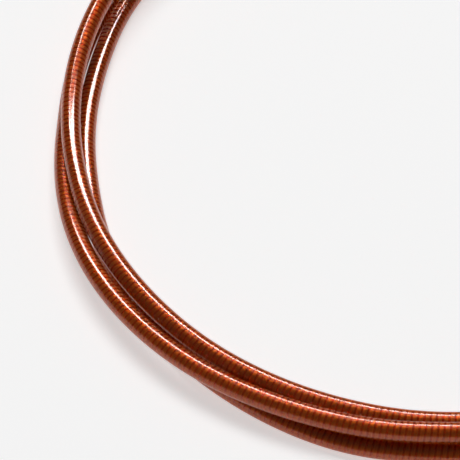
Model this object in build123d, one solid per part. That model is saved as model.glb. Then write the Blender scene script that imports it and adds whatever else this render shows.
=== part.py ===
"""Coiled bicycle brake cable: a jacketed wound-wire casing with its inner wire, ferrules, nipple and crimp.

The origin is the bottom centre of the bounding box, +Z is up and the coil lies flat on z = 0. The casing
starts at the lever end, makes about two and a half turns counter-clockwise seen from above, and stops at the
brake end; both ends lie inside the coil. Lengths are in millimetres, angles in degrees.
"""
from build123d import *
import math
import os

# Casing, from the outside in
JACKET_OD = 5.0
JACKET_ID = 4.3
WOUND_OD = 4.2
WOUND_ID = 2.9
LINER_OD = 2.7
LINER_ID = 2.1
INNER_WIRE_D = 1.5

# Fittings
FERRULE_OD = 6.0
FERRULE_BORE = 5.06
FERRULE_LENGTH = 12.0
FERRULE_DEPTH = 10.0
FERRULE_HOLE = 2.3
FERRULE_LIP = 0.4
NIPPLE_D = 7.0
NIPPLE_HEIGHT = 5.5
NIPPLE_SEAT = 5.0
CRIMP_OD = 2.3
CRIMP_LENGTH = 9.0
CRIMP_CLOSED = 1.0

# Ends of the inner wire
CABLE_PULL = 12.0
LEVER_WIRE_OUT = 24.0
BRAKE_WIRE_OUT = 50.0
WIRE_LEFT_INSIDE = 4.0
WIRE_CLEARANCE = 1.5
FLOOR_GAP = 0.05
LEVER_AXIS_HEIGHT = FERRULE_OD / 2 + FLOOR_GAP
BRAKE_END_SLOPE = 2.0

# Route of the casing's centre line: (angle along the coil, distance from the coil's middle, height)
COIL_MIDDLE = Vector(-1.653, 0.086, 0)
COIL_START = 140
COIL_END = 1010
COIL_KEYS = [
    (120, 98.6, 2.5), (140, 98.0, 2.5), (155, 97.1, 2.5), (165, 96.1, 2.5), (175, 96.0, 2.5),
    (188, 96.7, 2.5), (195, 97.6, 2.5), (205, 99.8, 2.5), (220, 102.6, 2.5), (240, 106.1, 2.5),
    (250, 107.3, 2.5), (256, 107.1, 2.5), (264, 105.7, 2.5), (285, 104.7, 2.5), (340, 104.8, 2.8),
    (385, 104.4, 3.9), (435, 104.4, 3.9), (480, 105.2, 2.9), (505, 102.9, 2.5), (515, 102.2, 2.5),
    (522, 101.6, 2.6), (530, 101.1, 3.1), (540, 101.0, 4.0), (548, 102.4, 5.0), (554, 103.7, 5.7),
    (560, 105.1, 6.5), (570, 106.9, 7.4), (580, 107.8, 7.7), (590, 107.9, 7.8), (600, 107.1, 7.8),
    (616, 105.4, 7.7), (626, 103.5, 7.7), (650, 102.6, 7.8), (700, 103.4, 8.1), (745, 103.9, 9.2),
    (795, 103.9, 9.2), (820, 102.2, 10.8), (840, 99.9, 13.9), (852, 98.5, 15.3), (862, 97.9, 15.6),
    (872, 98.3, 14.8), (885, 99.2, 12.6), (895, 99.7, 10.9), (902, 99.9, 9.9), (908, 100.1, 9.5),
    (914, 100.4, 9.4), (920, 101.0, 9.2), (930, 101.5, 8.8), (940, 101.8, 8.3), (950, 102.0, 7.8),
    (960, 101.7, 7.3), (970, 100.9, 6.6), (980, 99.7, 5.8), (990, 97.6, 4.9), (1000, 95.6, 4.5),
    (1010, 93.9, 4.4),
]
# Points of the two loose ends from the coil outwards: (step, heading seen from above)
LEVER_TAIL_STEPS = [(17, 40), (17, 24), (17, 8), (17, -6), (18, -17), (20, -24)]
BRAKE_TAIL_STEPS = [(17, 32), (17, 48), (17, 63), (17, 76), (18, 85), (20, 90)]
ARC_SHARE = 0.45

# Outer shape of the coil
OUTLINE_STEP = 15
COIL_EDGE_RADIUS = 2.2
COIL_HEIGHT = 11.8
ARCH_HEIGHT = 18.1
ARCH_SIDE = -45

# Ties round the stacked turns
TIE_ANGLES = {"left": 75, "right": 25}
TIE_WIDTH = 2.5
TIE_THICKNESS = 1.1
TIE_ROUND = 2.6
TIE_SLACK = 0.1
TIE_HEAD = (3.6, 4.6, 4.8)
TIE_HEAD_ROUND = 0.5
TIE_END = 4.0


def coil_polar(angle):
    """Radius and height of the centre line: a cubic through the keys, sloped as a key's neighbours are."""
    keys = COIL_KEYS
    upper = next(i for i in range(1, len(keys)) if angle <= keys[i][0])
    (a0, *p0), (a1, *p1) = keys[upper - 1], keys[upper]
    before = keys[max(upper - 2, 0)]
    after = keys[min(upper + 1, len(keys) - 1)]
    span = a1 - a0
    u = (angle - a0) / span
    blended = []
    for axis in (0, 1):
        slope0 = (p1[axis] - before[axis + 1]) / (a1 - before[0])
        slope1 = (after[axis + 1] - p0[axis]) / (after[0] - a0)
        blended.append((2 * u**3 - 3 * u**2 + 1) * p0[axis] + (3 * u**2 - 2 * u**3) * p1[axis]
                       + (u**3 - 2 * u**2 + u) * span * slope0 + (u**3 - u**2) * span * slope1)
    return blended


def coil_point(angle):
    """Point of the centre line at an angle along the coil."""
    radius, height = coil_polar(angle)
    turn = math.radians(angle)
    return COIL_MIDDLE + Vector(radius * math.cos(turn), radius * math.sin(turn), height)


def heading_vector(heading):
    """Level unit vector at a heading."""
    return Vector(math.cos(math.radians(heading)), math.sin(math.radians(heading)), 0)


def tail_points(start, steps, end_height, end_slope):
    """Points of a loose end from the coil outwards; the last step falls at the end slope."""
    last_rise = -math.tan(math.radians(end_slope)) * steps[-1][0]
    rise_rate = (end_height - last_rise - start.Z) / sum(step for step, _ in steps[:-1])
    points = [start]
    for step, heading in steps[:-1]:
        points.append(points[-1] + heading_vector(heading) * step + Vector(0, 0, rise_rate * step))
    step, heading = steps[-1]
    points.append(points[-1] + heading_vector(heading) * step + Vector(0, 0, last_rise))
    return points


def corner_radii(points):
    """Largest tangent arcs that the runs beside each corner leave room for."""
    radii = []
    for before, corner, after in zip(points, points[1:], points[2:]):
        into, out = corner - before, after - corner
        half_turn = math.radians(into.get_angle(out)) / 2
        radii.append(ARC_SHARE * min(into.length, out.length) / math.tan(half_turn))
    return radii


def cord_path(points):
    """Straight runs joined by tangent arcs."""
    return FilletPolyline(*points, radius=corner_radii(points))


def rod_along(path, diameter):
    """Round rod along a path."""
    return sweep(Plane(origin=path @ 0, z_dir=path % 0) * Circle(diameter / 2), path=path)


def tube_along(path, outer, inner):
    """Round tube along a path."""
    return rod_along(path, outer) - rod_along(path, inner)


def straight_rod(start, direction, length, diameter):
    """Round rod from a point along a direction."""
    return extrude(Plane(origin=start, z_dir=direction) * Circle(diameter / 2), amount=length)


def ferrule(casing_end, direction):
    """Cap pushed over the casing: a bored cup with rounded rims and a hole for the wire in its end wall."""
    wall = FERRULE_LENGTH - FERRULE_DEPTH
    mouth = casing_end - direction * FERRULE_DEPTH
    body = straight_rod(mouth, direction, FERRULE_LENGTH, FERRULE_OD)
    body = fillet(body.edges().filter_by(GeomType.CIRCLE), FERRULE_LIP)
    body -= straight_rod(mouth, direction, FERRULE_DEPTH, FERRULE_BORE)
    return body - straight_rod(casing_end, direction, wall, FERRULE_HOLE)


def wire_end(casing_end, direction, inside, outside):
    """Sliding length of the inner wire, from inside the casing to its free end."""
    return straight_rod(casing_end - direction * inside, direction, inside + outside, INNER_WIRE_D)


def barrel_nipple(wire_tip, direction):
    """Upright barrel cast on the end of the wire; the wire enters through its side and stops inside."""
    mouth = wire_tip - direction * NIPPLE_SEAT
    barrel = Pos(mouth + direction * (NIPPLE_D / 2)) * Cylinder(NIPPLE_D / 2, NIPPLE_HEIGHT)
    barrel = fillet(barrel.edges().filter_by(GeomType.CIRCLE), FERRULE_LIP)
    return barrel - straight_rod(mouth, direction, NIPPLE_SEAT, INNER_WIRE_D)


def crimp_cap(wire_tip, direction):
    """Thin cap crimped on the free end of the wire."""
    start = wire_tip - direction * (CRIMP_LENGTH - CRIMP_CLOSED)
    cap = straight_rod(start, direction, CRIMP_LENGTH, CRIMP_OD)
    cap = fillet(cap.edges().filter_by(GeomType.CIRCLE).sort_by(SortBy.DISTANCE, False)[-1], FERRULE_LIP)
    return cap - straight_rod(start, direction, CRIMP_LENGTH - CRIMP_CLOSED, INNER_WIRE_D)


def coil_reach(around):
    """Least and greatest distance of the turns from the coil's middle at one place round it."""
    passes = [a for a in range(around, COIL_END + 1, 360) if a >= COIL_START]
    radii = [coil_polar(a)[0] for a in passes]
    return min(radii) - JACKET_OD / 2, max(radii) + JACKET_OD / 2


def coil_outline():
    """Inner and outer outlines of the turns, every few degrees all round."""
    inner, outer = [], []
    for around in range(0, 360, OUTLINE_STEP):
        near, far = coil_reach(around)
        inner.append(COIL_MIDDLE + heading_vector(around) * near)
        outer.append(COIL_MIDDLE + heading_vector(around) * far)
    return inner, outer


def ring_solid(height):
    """Closed ring between the inner and the outer outline, its rims rounded."""
    inner, outer = coil_outline()
    ring = make_face(Spline(*outer, periodic=True)) - make_face(Spline(*inner, periodic=True))
    body = extrude(ring, amount=height)
    return fillet(body.edges().filter_by(lambda e: e.is_closed), COIL_EDGE_RADIUS)


def coil_solid():
    """Closed solid of the coiled stretch's outer shape, taller at the back left where the top turn arches up."""
    reach = Box(200, 200, 100, align=(Align.MAX, Align.MIN, Align.MIN))
    return ring_solid(COIL_HEIGHT) + (ring_solid(ARCH_HEIGHT) & Pos(ARCH_SIDE, 0, 0) * reach)


def coil_tie(around):
    """Cable tie: a strap round the stacked turns, a head on its outer side and the strap's trimmed end."""
    near, far = coil_reach(around)
    outward = heading_vector(around)
    along = heading_vector(around + 90)
    wide, tall = far - near + 2 * TIE_SLACK, COIL_HEIGHT + TIE_SLACK - TIE_THICKNESS
    middle = COIL_MIDDLE + outward * (near + far) / 2 + Vector(0, 0, TIE_THICKNESS + tall / 2)
    across = Plane(origin=middle - along * TIE_WIDTH / 2, x_dir=outward, z_dir=along)
    opening = RectangleRounded(wide, tall, TIE_ROUND)
    strap = extrude(across * (offset(opening, TIE_THICKNESS) - opening), amount=TIE_WIDTH)
    head_middle = middle + outward * ((wide + TIE_THICKNESS + TIE_HEAD[0]) / 2)
    upright = Plane(origin=head_middle, x_dir=outward, z_dir=(0, 0, 1))
    head = fillet((upright * Box(*TIE_HEAD)).edges(), TIE_HEAD_ROUND)
    end = upright * Pos(0, 0, TIE_HEAD[2] / 2) * Box(TIE_THICKNESS, TIE_WIDTH, TIE_END)
    return strap + head + end


def tail_layers(name, points, inner_wire_stop):
    """Nested layers of one loose end, from the coil to the end of the casing."""
    path = cord_path(points)
    last = (points[-1] - points[-2]).normalized()
    core_points = points[:-1] + [points[-1] - last * inner_wire_stop]
    layers = {
        f"{name}_jacket": tube_along(path, JACKET_OD, JACKET_ID),
        f"{name}_wound_wire": tube_along(path, WOUND_OD, WOUND_ID),
        f"{name}_liner": tube_along(path, LINER_OD, LINER_ID),
        f"{name}_inner_wire": rod_along(cord_path(core_points), INNER_WIRE_D),
    }
    print(name, "length", round(path.length, 1), "radii", [round(r) for r in corner_radii(points)])
    section = math.pi * (JACKET_OD**2 - JACKET_ID**2) / 4
    ratio = layers[f"{name}_jacket"].volume / (section * path.length)
    print(name, "jacket volume over section times length", round(ratio, 4))
    return layers


lever_tail = tail_points(coil_point(COIL_START), LEVER_TAIL_STEPS, LEVER_AXIS_HEIGHT, 0)
brake_end_height = LEVER_AXIS_HEIGHT + math.tan(math.radians(BRAKE_END_SLOPE)) * FERRULE_LENGTH
brake_tail = tail_points(coil_point(COIL_END), BRAKE_TAIL_STEPS, brake_end_height, BRAKE_END_SLOPE)
lever_dir = (lever_tail[-1] - lever_tail[-2]).normalized()
brake_dir = (brake_tail[-1] - brake_tail[-2]).normalized()
lever_end, brake_end = lever_tail[-1], brake_tail[-1]

pulled_inside = WIRE_LEFT_INSIDE + CABLE_PULL
lever_stop = pulled_inside + WIRE_CLEARANCE
brake_stop = pulled_inside + WIRE_CLEARANCE

ties = {f"coil_tie_{side}": coil_tie(around) for side, around in TIE_ANGLES.items()}
nodes = {"casing_coil": coil_solid() - list(ties.values())}
nodes.update(ties)
nodes.update(tail_layers("lever_tail", lever_tail, lever_stop))
nodes.update(tail_layers("brake_tail", brake_tail, brake_stop))
nodes["lever_ferrule"] = ferrule(lever_end, lever_dir)
nodes["brake_ferrule"] = ferrule(brake_end, brake_dir)
nodes["lever_wire"] = wire_end(lever_end, lever_dir, pulled_inside, LEVER_WIRE_OUT)
nodes["barrel_nipple"] = barrel_nipple(lever_end + lever_dir * LEVER_WIRE_OUT, lever_dir)
nodes["brake_wire"] = wire_end(brake_end, brake_dir, WIRE_LEFT_INSIDE, BRAKE_WIRE_OUT)
nodes["crimp_cap"] = crimp_cap(brake_end + brake_dir * BRAKE_WIRE_OUT, brake_dir)

os.makedirs("parts", exist_ok=True)
for node, shape in nodes.items():
    export_step(shape, f"parts/{node}.step")

box = Compound(list(nodes.values())).bounding_box()
print("box", box.min, box.max, "centre", box.center())
coil_length = sum((coil_point(a + 1) - coil_point(a)).length for a in range(COIL_START, COIL_END))
print("coiled length", round(coil_length))
print("lever end", lever_end, lever_dir)
print("brake end", brake_end, brake_dir)
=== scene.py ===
"""Coiled brake cable: see-through jacket over flat wound wire, with its fittings and loose ends."""
import math

import bmesh
import bpy
import numpy as np
from bpy.props import FloatProperty, IntProperty, StringProperty
from bpy.types import Operator, Panel, PropertyGroup
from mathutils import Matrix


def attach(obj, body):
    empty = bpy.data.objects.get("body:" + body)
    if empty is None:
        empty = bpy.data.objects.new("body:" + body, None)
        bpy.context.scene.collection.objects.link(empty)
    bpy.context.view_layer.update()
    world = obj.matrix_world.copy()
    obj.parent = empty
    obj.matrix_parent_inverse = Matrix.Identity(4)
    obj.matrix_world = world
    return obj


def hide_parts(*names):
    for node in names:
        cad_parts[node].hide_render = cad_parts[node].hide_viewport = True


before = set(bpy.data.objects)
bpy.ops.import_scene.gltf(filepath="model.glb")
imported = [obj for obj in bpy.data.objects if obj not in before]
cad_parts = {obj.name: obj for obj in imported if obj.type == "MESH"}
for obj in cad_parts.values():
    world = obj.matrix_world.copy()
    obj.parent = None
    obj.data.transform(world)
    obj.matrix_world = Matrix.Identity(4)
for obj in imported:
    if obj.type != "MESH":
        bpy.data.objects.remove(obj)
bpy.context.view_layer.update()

bl_info = {
    "name": "Coiled brake cable",
    "version": (1, 0, 0),
    "blender": (4, 5, 0),
    "location": "View3D > Sidebar > Cable",
    "description": "Builds a coiled brake cable with its jacket, wound wire, fittings and loose ends",
    "category": "Add Mesh",
}

MM = 0.001

# Route of the casing's centre line, in millimetres: (angle along the coil, distance from its middle, height)
COIL_MIDDLE = (-1.653, 0.086)
COIL_START = 140
COIL_END = 1010
COIL_STEP = 5
COIL_KEYS = [
    (120, 98.6, 2.5), (140, 98.0, 2.5), (155, 97.1, 2.5), (165, 96.1, 2.5), (175, 96.0, 2.5),
    (188, 96.7, 2.5), (195, 97.6, 2.5), (205, 99.8, 2.5), (220, 102.6, 2.5), (240, 106.1, 2.5),
    (250, 107.3, 2.5), (256, 107.1, 2.5), (264, 105.7, 2.5), (285, 104.7, 2.5), (340, 104.8, 2.8),
    (385, 104.4, 3.9), (435, 104.4, 3.9), (480, 105.2, 2.9), (505, 102.9, 2.5), (515, 102.2, 2.5),
    (522, 101.6, 2.6), (530, 101.1, 3.1), (540, 101.0, 4.0), (548, 102.4, 5.0), (554, 103.7, 5.7),
    (560, 105.1, 6.5), (570, 106.9, 7.4), (580, 107.8, 7.7), (590, 107.9, 7.8), (600, 107.1, 7.8),
    (616, 105.4, 7.7), (626, 103.5, 7.7), (650, 102.6, 7.8), (700, 103.4, 8.1), (745, 103.9, 9.2),
    (795, 103.9, 9.2), (820, 102.2, 10.8), (840, 99.9, 13.9), (852, 98.5, 15.3), (862, 97.9, 15.6),
    (872, 98.3, 14.8), (885, 99.2, 12.6), (895, 99.7, 10.9), (902, 99.9, 9.9), (908, 100.1, 9.5),
    (914, 100.4, 9.4), (920, 101.0, 9.2), (930, 101.5, 8.8), (940, 101.8, 8.3), (950, 102.0, 7.8),
    (960, 101.7, 7.3), (970, 100.9, 6.6), (980, 99.7, 5.8), (990, 97.6, 4.9), (1000, 95.6, 4.5),
    (1010, 93.9, 4.4),
]
# Points of the two loose ends from the coil outwards: (step, heading seen from above)
LEVER_TAIL_STEPS = [(17, 40), (17, 24), (17, 8), (17, -6), (18, -17), (20, -24)]
BRAKE_TAIL_STEPS = [(17, 32), (17, 48), (17, 63), (17, 76), (18, 85), (20, 90)]
LEVER_END_HEIGHT = 3.05
FERRULE_LENGTH = 12.0
BRAKE_END_SLOPE = 2.0
WIRE_INSIDE = {"lever": 16.0, "brake": 4.0}
WIRE_OUTSIDE = {"lever": 24.0, "brake": 50.0}
INNER_WIRE_STOP = 17.5

# Points in one ring of each mesh
JACKET_SIDES = 40
CORE_SIDES = 12
STRAND_SIDES = 8
# Part of a strand's thickness that stands out of the core it is laid round
STRAND_CLEAR = 0.9
# Wound wire: meshes that share it, points across its rounded back, and the angle at which an edge is sharp
WOUND_PIECES = 3
BACK_POINTS = 7
SHARP_EDGE = 50

# Softboxes: name, degrees above the floor's far side, shift to the right, width and depth in metres, power in
# watts, and which light it gives
STRIP_BEHIND = ("strip_behind", 47.6, 0.3, 2.4, 0.46, 98.0, "gloss")
SOFT_ABOVE = ("soft_above", 72.0, 0.0, 1.8, 1.2, 33.0, "diffuse")
SOFTBOX_DISTANCE = 3.0
WORLD_LIGHT = 0.06
FLOOR_REACH = 6.0

# Camera: what it aims at, in millimetres from the coil's middle; how far back and up it stands, in metres;
# its tilt from straight down, in degrees; lens and sensor in millimetres; and its nearest view, in metres
AIM = (-60, -33)
CAMERA_BACK = 0.6022
CAMERA_UP = 0.6688
CAMERA_TILT = 42
CAMERA_LENS = 285.3
CAMERA_SENSOR = 36
CAMERA_CLIP = 0.05


class CableJacket(PropertyGroup):
    """Sizes and colour of the see-through jacket."""
    outer: FloatProperty(name="Outer diameter", description="Across the jacket", default=5.0 * MM,
                         unit="LENGTH")
    inner: FloatProperty(name="Inner diameter", description="Bore, pressed on the crests of the wound wire",
                         default=4.1 * MM, unit="LENGTH")
    ring_gap: FloatProperty(name="Ring spacing", description="Between mesh rings", default=2.0 * MM,
                            unit="LENGTH")
    tint: StringProperty(name="Tint", description="Colour of the plastic, sRGB hex", default="E66A18")


class CableWire(PropertyGroup):
    """Sizes of the wound wire, the liner and the stranded inner wire."""
    pitch: FloatProperty(name="Winding pitch", description="Between turns of the flat wire",
                         default=1.45 * MM, unit="LENGTH")
    outer: FloatProperty(name="Winding diameter", description="Across the wound wire", default=4.2 * MM,
                         unit="LENGTH")
    width: FloatProperty(name="Wire width", description="Of the flat wire", default=1.445 * MM, unit="LENGTH")
    thickness: FloatProperty(name="Wire thickness", description="Of the flat wire", default=0.65 * MM,
                             unit="LENGTH")
    crown: FloatProperty(name="Crown", description="Rise of the wire's rounded back over its edges",
                         default=0.1 * MM, unit="LENGTH")
    turn_points: IntProperty(name="Points per turn", description="Mesh rings in one turn", default=22)
    inner: FloatProperty(name="Inner wire", description="Across the stranded wire", default=1.5 * MM,
                         unit="LENGTH")
    strand: FloatProperty(name="Strand", description="Across one strand of the inner wire", default=0.3 * MM,
                          unit="LENGTH")
    strands: IntProperty(name="Strands", description="Strands round the core of the inner wire", default=12)
    lay: FloatProperty(name="Lay", description="Length in which a strand goes once round", default=12 * MM,
                       unit="LENGTH")
    lay_points: IntProperty(name="Points per lay", description="Mesh rings in one lay", default=24)
    liner_outer: FloatProperty(name="Liner outside", description="Across the liner", default=2.7 * MM,
                               unit="LENGTH")
    liner_inner: FloatProperty(name="Liner inside", description="Bore of the liner", default=2.1 * MM,
                               unit="LENGTH")
    core_gap: FloatProperty(name="Core spacing", description="Between mesh rings of the liner and inner wire",
                            default=4 * MM, unit="LENGTH")


def coil_polar(angle):
    """Radius and height of the centre line: a cubic through the keys, sloped as a key's neighbours are."""
    keys = COIL_KEYS
    upper = next(i for i in range(1, len(keys)) if angle <= keys[i][0])
    (a0, *p0), (a1, *p1) = keys[upper - 1], keys[upper]
    before = keys[max(upper - 2, 0)]
    after = keys[min(upper + 1, len(keys) - 1)]
    span = a1 - a0
    u = (angle - a0) / span
    blended = []
    for axis in (0, 1):
        slope0 = (p1[axis] - before[axis + 1]) / (a1 - before[0])
        slope1 = (after[axis + 1] - p0[axis]) / (after[0] - a0)
        blended.append((2 * u**3 - 3 * u**2 + 1) * p0[axis] + (3 * u**2 - 2 * u**3) * p1[axis]
                       + (u**3 - 2 * u**2 + u) * span * slope0 + (u**3 - u**2) * span * slope1)
    return blended


def coil_point(angle, spread=1.0):
    """Point at an angle along the coil, in millimetres, its radius multiplied by the spread."""
    radius, height = coil_polar(angle)
    turn = math.radians(angle)
    return np.array([COIL_MIDDLE[0] + spread * radius * math.cos(turn),
                     COIL_MIDDLE[1] + spread * radius * math.sin(turn), height])


def heading_vector(heading):
    """Level unit vector at a heading."""
    return np.array([math.cos(math.radians(heading)), math.sin(math.radians(heading)), 0.0])


def tail_points(start, steps, end_height, end_slope):
    """Points of a loose end from the coil outwards; the last step falls at the end slope."""
    last_rise = -math.tan(math.radians(end_slope)) * steps[-1][0]
    rise_rate = (end_height - last_rise - start[2]) / sum(step for step, _ in steps[:-1])
    points = [start]
    for step, heading in steps[:-1]:
        points.append(points[-1] + heading_vector(heading) * step + np.array([0, 0, rise_rate * step]))
    step, heading = steps[-1]
    points.append(points[-1] + heading_vector(heading) * step + np.array([0, 0, last_rise]))
    return points


def loose_ends():
    """Both loose ends, each from the coil outwards, in millimetres."""
    lever = tail_points(coil_point(COIL_START), LEVER_TAIL_STEPS, LEVER_END_HEIGHT, 0)
    brake_height = LEVER_END_HEIGHT + math.tan(math.radians(BRAKE_END_SLOPE)) * FERRULE_LENGTH
    brake = tail_points(coil_point(COIL_END), BRAKE_TAIL_STEPS, brake_height, BRAKE_END_SLOPE)
    return {"lever": lever, "brake": brake}


def route_points():
    """The whole route in metres: one loose end, the coil's turns and the other loose end.

    The smooth line cuts inside a turn's points by the cosine of half a step, so they stand that much further
    out.
    """
    ends = loose_ends()
    spread = 1 / math.cos(math.radians(COIL_STEP / 2))
    turns = [coil_point(angle, spread) for angle in range(COIL_START, COIL_END + 1, COIL_STEP)]
    return np.array(ends["lever"][:0:-1] + turns + ends["brake"][1:]) * MM


def end_of(side):
    """Place and direction, outwards, of one end of the casing, in metres."""
    points = np.array(loose_ends()[side]) * MM
    run = points[-1] - points[-2]
    return points[-1], run / np.linalg.norm(run)


def smooth_line(points, gap):
    """Points read from a NURBS line over the given ones, evenly spaced at about the gap."""
    curve = bpy.data.curves.new("route", "CURVE")
    curve.dimensions = "3D"
    curve.resolution_u = 12
    spline = curve.splines.new("NURBS")
    spline.points.add(len(points) - 1)
    spline.points.foreach_set("co", np.column_stack([points, np.ones(len(points))]).ravel())
    spline.order_u = 3
    spline.use_endpoint_u = True
    holder = bpy.data.objects.new("route", curve)
    mesh = bpy.data.meshes.new_from_object(holder)
    line = np.empty(len(mesh.vertices) * 3)
    mesh.vertices.foreach_get("co", line)
    bpy.data.objects.remove(holder)
    bpy.data.curves.remove(curve)
    bpy.data.meshes.remove(mesh)
    return even_line(line.reshape(-1, 3), gap)


def even_line(line, gap):
    """The same line with evenly spaced points."""
    length = np.concatenate([[0], np.cumsum(np.linalg.norm(np.diff(line, axis=0), axis=1))])
    count = max(2, round(length[-1] / gap) + 1)
    places = np.linspace(0, length[-1], count)
    return np.column_stack([np.interp(places, length, line[:, axis]) for axis in range(3)])


def line_length(line):
    """Length of a line of points."""
    return float(np.linalg.norm(np.diff(line, axis=0), axis=1).sum())


def line_axes(line):
    """Unit vectors at each point of a line: along it, level to its right, and upwards across it."""
    along = np.gradient(line, axis=0)
    along /= np.linalg.norm(along, axis=1)[:, None]
    right = np.cross(along, [0.0, 0.0, 1.0])
    right /= np.linalg.norm(right, axis=1)[:, None]
    return along, right, np.cross(right, along)


def grid_faces(rows, columns, close_rows):
    """Four-sided faces of a grid whose columns join round, and whose rows do too when asked."""
    row = np.arange(rows if close_rows else rows - 1)[:, None]
    column = np.arange(columns)[None, :]
    next_row, next_column = (row + 1) % rows, (column + 1) % columns
    corners = [row * columns + column, next_row * columns + column,
               next_row * columns + next_column, row * columns + next_column]
    return np.stack(np.broadcast_arrays(*corners), axis=-1).reshape(-1, 4)


def mesh_from(name, points, faces, ends=()):
    """Mesh of the points and four-sided faces, with the given closing faces, all smooth."""
    mesh = bpy.data.meshes.new(name)
    closing = [list(map(int, end)) for end in ends]
    mesh.from_pydata(points.reshape(-1, 3).tolist(), [], faces.tolist() + closing)
    mesh.shade_smooth()
    return mesh


def add_piece(name, mesh, material, body):
    """Object of a mesh at the origin, with its material, riding on a body."""
    piece = bpy.data.objects.new(name, mesh)
    mesh.materials.append(material)
    bpy.context.scene.collection.objects.link(piece)
    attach(piece, body)
    return piece


def rings(line, axes, radii, sides):
    """Rings round a line: each point is the line's plus its radius times (cosine right, sine up)."""
    _, right, up = axes
    turn = np.linspace(0, 2 * np.pi, sides, endpoint=False)[None, :, None]
    radii = np.broadcast_to(radii, len(line))[:, None, None]
    return line[:, None] + radii * (np.cos(turn) * right[:, None] + np.sin(turn) * up[:, None])


def rod_mesh(name, line, radii, sides):
    """Closed rod: rings along a line, with a face over each end."""
    points = rings(line, line_axes(line), radii, sides)
    last = (len(line) - 1) * sides
    ends = [range(sides), range(last + sides - 1, last - 1, -1)]
    return mesh_from(name, points, grid_faces(len(line), sides, False), ends)


def pipe_mesh(name, line, outer, inner, sides):
    """Closed pipe: rings of the outer wall from start to end, then of the inner wall from end to start."""
    axes = line_axes(line)
    walls = np.concatenate([rings(line, axes, outer, sides), rings(line, axes, inner, sides)[::-1]])
    return mesh_from(name, walls, grid_faces(len(walls), sides, True))


def srgb(code):
    """Linear colour with alpha from an sRGB hex code."""
    parts = np.array([int(code[i:i + 2], 16) for i in (0, 2, 4)]) / 255
    linear = np.where(parts <= 0.04045, parts / 12.92, ((parts + 0.055) / 1.055) ** 2.4)
    return (*linear.tolist(), 1.0)


def add_node(tree, kind, settings=None, **links):
    """Node of a kind: settings are attributes, links are input values or the outputs that feed them."""
    node = tree.nodes.new(kind)
    for key, value in (settings or {}).items():
        setattr(node, key, value)
    for key, value in links.items():
        socket = node.inputs[key.replace("_", " ")]
        if isinstance(value, bpy.types.NodeSocket):
            tree.links.new(value, socket)
        else:
            socket.default_value = value
    return node


def new_material(name):
    """Material with a bare tree and its output node."""
    material = bpy.data.materials.new(name)
    material.use_nodes = True
    material.node_tree.nodes.clear()
    return material, material.node_tree


def finish_material(material, tree, shader):
    """Links the shader to the output."""
    output = tree.nodes.new("ShaderNodeOutputMaterial")
    tree.links.new(shader.outputs[0], output.inputs["Surface"])
    return material


def place(tree, stretch=(1.0, 1.0, 1.0)):
    """Object coordinates, stretched along each axis."""
    coordinates = add_node(tree, "ShaderNodeTexCoord")
    return add_node(tree, "ShaderNodeMapping", Vector=coordinates.outputs["Object"], Scale=stretch).outputs[0]


def speckle(tree, where, size, low, high, detail=4.0):
    """Value that wanders between low and high in patches of about a size, in metres."""
    noise = add_node(tree, "ShaderNodeTexNoise", Vector=where, Scale=1 / size, Detail=detail)
    return add_node(tree, "ShaderNodeMapRange", Value=noise.outputs["Fac"], From_Min=0.3, From_Max=0.7,
                    To_Min=low, To_Max=high).outputs[0]


def bumped(tree, height, depth):
    """Normal of a surface whose relief, from 0 to 1, is a depth in metres."""
    return add_node(tree, "ShaderNodeBump", Height=height, Distance=depth, Strength=1.0).outputs[0]


def tinted_vinyl(tint):
    """Clear tinted PVC, extruded: a glassy skin that bends the view of the wire under it and tints it copper.

    Fine dust and handling marks dull the gloss in patches, so highlights stay smooth but never mirror-sharp.
    """
    material, tree = new_material("tinted_vinyl")
    roughness = speckle(tree, place(tree), 6 * MM, 0.1, 0.14)
    shader = add_node(tree, "ShaderNodeBsdfPrincipled", Base_Color=srgb(tint), Roughness=roughness, IOR=1.45,
                      Transmission_Weight=0.8)
    return finish_material(material, tree, shader)


def rolled_steel():
    """Rolled carbon-steel flat wire: bright, faintly warm metal, its gloss broken by the mill's marks."""
    material, tree = new_material("rolled_steel")
    where = place(tree)
    roughness = speckle(tree, where, 1.2 * MM, 0.4, 0.5)
    marks = speckle(tree, where, 0.12 * MM, 0.0, 1.0, detail=1.0)
    shader = add_node(tree, "ShaderNodeBsdfPrincipled", Base_Color=srgb("C6B8A6"), Metallic=1.0,
                      Roughness=roughness, Normal=bumped(tree, marks, 0.004 * MM))
    return finish_material(material, tree, shader)


def drawn_steel():
    """Galvanised drawn steel strand: cool grey metal, its gloss duller in random patches."""
    material, tree = new_material("drawn_steel")
    where = place(tree)
    roughness = speckle(tree, where, 0.8 * MM, 0.26, 0.42)
    shader = add_node(tree, "ShaderNodeBsdfPrincipled", Base_Color=srgb("BEBFBF"), Metallic=1.0,
                      Roughness=roughness)
    return finish_material(material, tree, shader)


def liner_plastic():
    """Dark greased polyethylene liner: waxy and soft-sheened, hardly seen between the turns of wire."""
    material, tree = new_material("liner_plastic")
    roughness = speckle(tree, place(tree), 3 * MM, 0.35, 0.55)
    shader = add_node(tree, "ShaderNodeBsdfPrincipled", Base_Color=srgb("3A3634"), Roughness=roughness)
    return finish_material(material, tree, shader)


def nickel_plate():
    """Nickel-plated steel ferrule: bright plate, with light handling marks and a very faint orange-peel."""
    material, tree = new_material("nickel_plate")
    where = place(tree)
    roughness = speckle(tree, where, 2.5 * MM, 0.14, 0.3)
    peel = speckle(tree, where, 0.5 * MM, 0.0, 1.0, detail=2.0)
    shader = add_node(tree, "ShaderNodeBsdfPrincipled", Base_Color=srgb("D6D4CE"), Metallic=1.0,
                      Roughness=roughness, Normal=bumped(tree, peel, 0.006 * MM))
    return finish_material(material, tree, shader)


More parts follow.
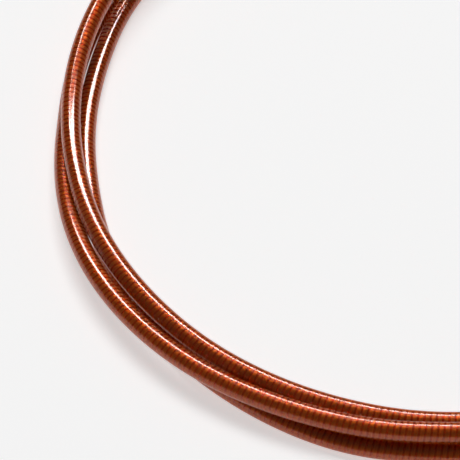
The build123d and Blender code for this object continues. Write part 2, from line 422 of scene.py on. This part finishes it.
def cast_zinc():
    """Die-cast zinc nipple: dull blue-grey metal with the shallow pitting of a cast skin."""
    material, tree = new_material("cast_zinc")
    where = place(tree)
    roughness = speckle(tree, where, 1.5 * MM, 0.38, 0.58)
    pits = speckle(tree, where, 0.25 * MM, 0.0, 1.0)
    shader = add_node(tree, "ShaderNodeBsdfPrincipled", Base_Color=srgb("A3A6A8"), Metallic=1.0,
                      Roughness=roughness, Normal=bumped(tree, pits, 0.03 * MM))
    return finish_material(material, tree, shader)


def crimped_aluminium():
    """Soft aluminium cap: pale satin metal, with the scuffs that the crimping pliers leave."""
    material, tree = new_material("crimped_aluminium")
    where = place(tree)
    roughness = speckle(tree, where, 1.0 * MM, 0.25, 0.45)
    scuffs = speckle(tree, where, 0.4 * MM, 0.0, 1.0)
    shader = add_node(tree, "ShaderNodeBsdfPrincipled", Base_Color=srgb("D9DADC"), Metallic=1.0,
                      Roughness=roughness, Normal=bumped(tree, scuffs, 0.03 * MM))
    return finish_material(material, tree, shader)


def natural_nylon():
    """Natural nylon tie: milky plastic that light enters a little way, with a fine moulded grain."""
    material, tree = new_material("natural_nylon")
    where = place(tree)
    roughness = speckle(tree, where, 2 * MM, 0.38, 0.52)
    grain = speckle(tree, where, 0.3 * MM, 0.0, 1.0)
    shader = add_node(tree, "ShaderNodeBsdfPrincipled", Base_Color=srgb("E4DFCF"), Roughness=roughness,
                      Subsurface_Weight=0.3, Subsurface_Scale=1.5 * MM, Normal=bumped(tree, grain, 0.01 * MM))
    return finish_material(material, tree, shader)


def white_paper():
    """White background paper: matt, and partly lit by its own glow, which keeps the shadows shallow."""
    material, tree = new_material("white_paper")
    shader = add_node(tree, "ShaderNodeBsdfPrincipled", Base_Color=srgb("F6F6F6"), Roughness=0.95,
                      Specular_IOR_Level=0.0, Emission_Color=srgb("FFFFFF"), Emission_Strength=0.55)
    return finish_material(material, tree, shader)


def finish_nodes(material, *names):
    """Gives frame nodes a material."""
    for name in names:
        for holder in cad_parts[name].material_slots:
            holder.material = material


class CABLE_OT_jacket(Operator):
    """Build the see-through jacket along the whole casing"""
    bl_idname = "cable.jacket"
    bl_label = "Jacket"

    def execute(self, context):
        sizes = context.scene.cable_jacket
        line = smooth_line(route_points(), sizes.ring_gap)
        mesh = pipe_mesh("jacket", line, sizes.outer / 2, sizes.inner / 2, JACKET_SIDES)
        jacket = add_piece("jacket", mesh, tinted_vinyl(sizes.tint), "casing")
        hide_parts("casing_coil", "lever_tail_jacket", "brake_tail_jacket")
        start, _ = end_of("lever")
        tuple(start)
        return {"FINISHED"}


class CABLE_OT_wound_wire(Operator):
    """Wind the flat wire under the jacket: its back is a parabola that falls by the crown at both edges"""
    bl_idname = "cable.wound_wire"
    bl_label = "Wound wire"

    def execute(self, context):
        sizes = context.scene.cable_wire
        line = smooth_line(route_points(), sizes.pitch / sizes.turn_points)
        along, right, up = line_axes(line)
        turns = line_length(line) / sizes.pitch
        turn = np.linspace(0, 2 * np.pi * turns, len(line))[:, None]
        out = np.cos(turn) * right + np.sin(turn) * up
        half, top, bottom = sizes.width / 2, sizes.outer / 2, sizes.outer / 2 - sizes.thickness
        bow = np.linspace(-1, 1, BACK_POINTS)
        section = [(x * half, top - sizes.crown * x**2) for x in bow]
        section += [(half, bottom), (-half, bottom)]
        offsets = np.array(section)
        points = (line[:, None] + offsets[None, :, 0, None] * along[:, None]
                  + offsets[None, :, 1, None] * out[:, None])
        material = rolled_steel()
        share = len(line) // WOUND_PIECES
        for part in range(WOUND_PIECES):
            last = len(line) if part == WOUND_PIECES - 1 else (part + 1) * share + 1
            block = points[part * share:last]
            count = len(block)
            faces = grid_faces(count, len(section), False)[:, ::-1]
            end = (count - 1) * len(section)
            closing = [range(len(section) - 1, -1, -1), range(end, end + len(section))]
            mesh = mesh_from(f"wound_wire_{part + 1}", block, faces, closing)
            mesh.set_sharp_from_angle(angle=math.radians(SHARP_EDGE))
            piece = add_piece(f"wound_wire_{part + 1}", mesh, material, "casing")
            if part == 0:
                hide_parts("lever_tail_wound_wire")
            if part == WOUND_PIECES - 1:
                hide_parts("brake_tail_wound_wire")
        return {"FINISHED"}


class CABLE_OT_stage(Operator):
    """Lay the floor, and set the lights and the camera"""
    bl_idname = "cable.stage"
    bl_label = "Stage"

    def execute(self, context):
        scene = context.scene
        scene.view_settings.view_transform = "Standard"
        floor = bpy.data.objects.new("floor", bpy.data.meshes.new("floor"))
        corners = [(FLOOR_REACH * x, FLOOR_REACH * y, 0) for x, y in ((-1, -1), (1, -1), (1, 1), (-1, 1))]
        floor.data.from_pydata(corners, [], [(0, 1, 2, 3)])
        floor.data.materials.append(white_paper())
        scene.collection.objects.link(floor)
        world = bpy.data.worlds.new("studio")
        world.use_nodes = True
        world.node_tree.nodes["Background"].inputs["Color"].default_value = (1, 1, 1, 1)
        world.node_tree.nodes["Background"].inputs["Strength"].default_value = WORLD_LIGHT
        scene.world = world
        aim = np.array([COIL_MIDDLE[0] + AIM[0], COIL_MIDDLE[1] + AIM[1], 0]) * MM
        for name, elevation, sideways, wide, deep, power, kind in (STRIP_BEHIND, SOFT_ABOVE):
            light = bpy.data.lights.new(name, "AREA")
            light.shape = "RECTANGLE"
            light.size, light.size_y, light.energy = wide, deep, power
            lamp = bpy.data.objects.new(name, light)
            lean = math.radians(90 - elevation)
            away = np.array([0, math.sin(lean), math.cos(lean)]) * SOFTBOX_DISTANCE
            lamp.location = aim + away + np.array([sideways, 0, 0])
            lamp.rotation_euler = (-lean, 0, 0)
            lamp.visible_diffuse = kind == "diffuse"
            lamp.visible_glossy = kind == "gloss"
            scene.collection.objects.link(lamp)
        camera = bpy.data.objects.new("camera", bpy.data.cameras.new("camera"))
        camera.data.lens = CAMERA_LENS
        camera.data.sensor_width = CAMERA_SENSOR
        camera.data.clip_start = CAMERA_CLIP
        camera.location = aim + np.array([0, -CAMERA_BACK, CAMERA_UP])
        camera.rotation_euler = (math.radians(CAMERA_TILT), 0, 0)
        scene.collection.objects.link(camera)
        scene.camera = camera
        return {"FINISHED"}


class CABLE_OT_cores(Operator):
    """Lay the liner and the fixed inner wire inside the casing"""
    bl_idname = "cable.cores"
    bl_label = "Liner and inner wire"

    def execute(self, context):
        sizes = context.scene.cable_wire
        line = smooth_line(route_points(), sizes.core_gap)
        tube = pipe_mesh("liner", line, sizes.liner_outer / 2, sizes.liner_inner / 2, CORE_SIDES)
        liner = add_piece("liner", tube, liner_plastic(), "casing")
        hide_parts("lever_tail_liner", "brake_tail_liner")
        cut = math.ceil(INNER_WIRE_STOP * MM / sizes.core_gap)
        rod = rod_mesh("inner_wire", line[cut:-cut], sizes.inner / 2, CORE_SIDES)
        core = add_piece("inner_wire", rod, drawn_steel(), "casing")
        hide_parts("lever_tail_inner_wire", "brake_tail_inner_wire")
        return {"FINISHED"}


def strand_lines(start, direction, length, sizes):
    """Centre lines of the outer strands: helices of the strand's lay round a straight line.

    Each point stands at the strand's place round the core, turned by the distance along over the lay.
    """
    count = max(2, round(length / sizes.lay * sizes.lay_points) + 1)
    axis = start + np.linspace(0, length, count)[:, None] * direction
    _, right, up = line_axes(axis)
    turned = 2 * np.pi * np.linspace(0, length / sizes.lay, count)
    radius = (sizes.inner - sizes.strand) / 2
    for place_round in np.linspace(0, 2 * np.pi, sizes.strands, endpoint=False):
        turn = (turned + place_round)[:, None]
        yield axis + radius * (np.cos(turn) * right + np.sin(turn) * up)


def stranded_mesh(name, start, direction, length, sizes):
    """Closed rods in one mesh: a straight core and the strands laid round it."""
    core = start + np.linspace(0, length, 3)[:, None] * direction
    rods = [rod_mesh("core", core, sizes.inner / 2 - STRAND_CLEAR * sizes.strand, CORE_SIDES)]
    rods += [rod_mesh("strand", line, sizes.strand / 2, STRAND_SIDES)
             for line in strand_lines(start, direction, length, sizes)]
    joined = bmesh.new()
    for rod in rods:
        joined.from_mesh(rod)
        bpy.data.meshes.remove(rod)
    mesh = bpy.data.meshes.new(name)
    joined.to_mesh(mesh)
    joined.free()
    return mesh


class CABLE_OT_wire_ends(Operator):
    """Lay up the strands of the two sliding wire ends"""
    bl_idname = "cable.wire_ends"
    bl_label = "Wire ends"

    def execute(self, context):
        sizes = context.scene.cable_wire
        steel = drawn_steel()
        for side in ("lever", "brake"):
            end, direction = end_of(side)
            inside, outside = WIRE_INSIDE[side] * MM, WIRE_OUTSIDE[side] * MM
            start, length = end - inside * direction, inside + outside
            mesh = stranded_mesh(f"{side}_strands", start, direction, length, sizes)
            piece = add_piece(f"{side}_strands", mesh, steel, f"{side}_end")
            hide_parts(f"{side}_wire")
        return {"FINISHED"}


class CABLE_OT_fittings(Operator):
    """Finish the ferrules, the nipple, the crimp cap and the ties"""
    bl_idname = "cable.fittings"
    bl_label = "Fittings"

    def execute(self, context):
        finish_nodes(nickel_plate(), "lever_ferrule", "brake_ferrule")
        finish_nodes(cast_zinc(), "barrel_nipple")
        finish_nodes(crimped_aluminium(), "crimp_cap")
        finish_nodes(natural_nylon(), "coil_tie_left", "coil_tie_right")
        return {"FINISHED"}


class CABLE_PT_panel(Panel):
    """Buttons and settings of the cable"""
    bl_label = "Brake cable"
    bl_space_type = "VIEW_3D"
    bl_region_type = "UI"
    bl_category = "Cable"

    def draw(self, context):
        for step in STEPS:
            self.layout.operator(step.bl_idname)
        for group in (context.scene.cable_jacket, context.scene.cable_wire):
            for setting in group.bl_rna.properties.keys()[2:]:
                self.layout.prop(group, setting)


STEPS = [CABLE_OT_stage, CABLE_OT_jacket, CABLE_OT_wound_wire, CABLE_OT_cores, CABLE_OT_wire_ends,
         CABLE_OT_fittings]
CLASSES = [CableJacket, CableWire, *STEPS, CABLE_PT_panel]


def register():
    """Register the classes and the scene's settings."""
    for cls in CLASSES:
        bpy.utils.register_class(cls)
    bpy.types.Scene.cable_jacket = bpy.props.PointerProperty(type=CableJacket)
    bpy.types.Scene.cable_wire = bpy.props.PointerProperty(type=CableWire)


def unregister():
    """Remove what register added."""
    del bpy.types.Scene.cable_wire
    del bpy.types.Scene.cable_jacket
    for cls in reversed(CLASSES):
        bpy.utils.unregister_class(cls)


def main():
    """Build the cable and its stage."""
    register()
    bpy.ops.cable.stage()
    bpy.ops.cable.jacket()
    bpy.ops.cable.wound_wire()
    bpy.ops.cable.cores()
    bpy.ops.cable.wire_ends()
    bpy.ops.cable.fittings()


if __name__ == "__main__":
    main()
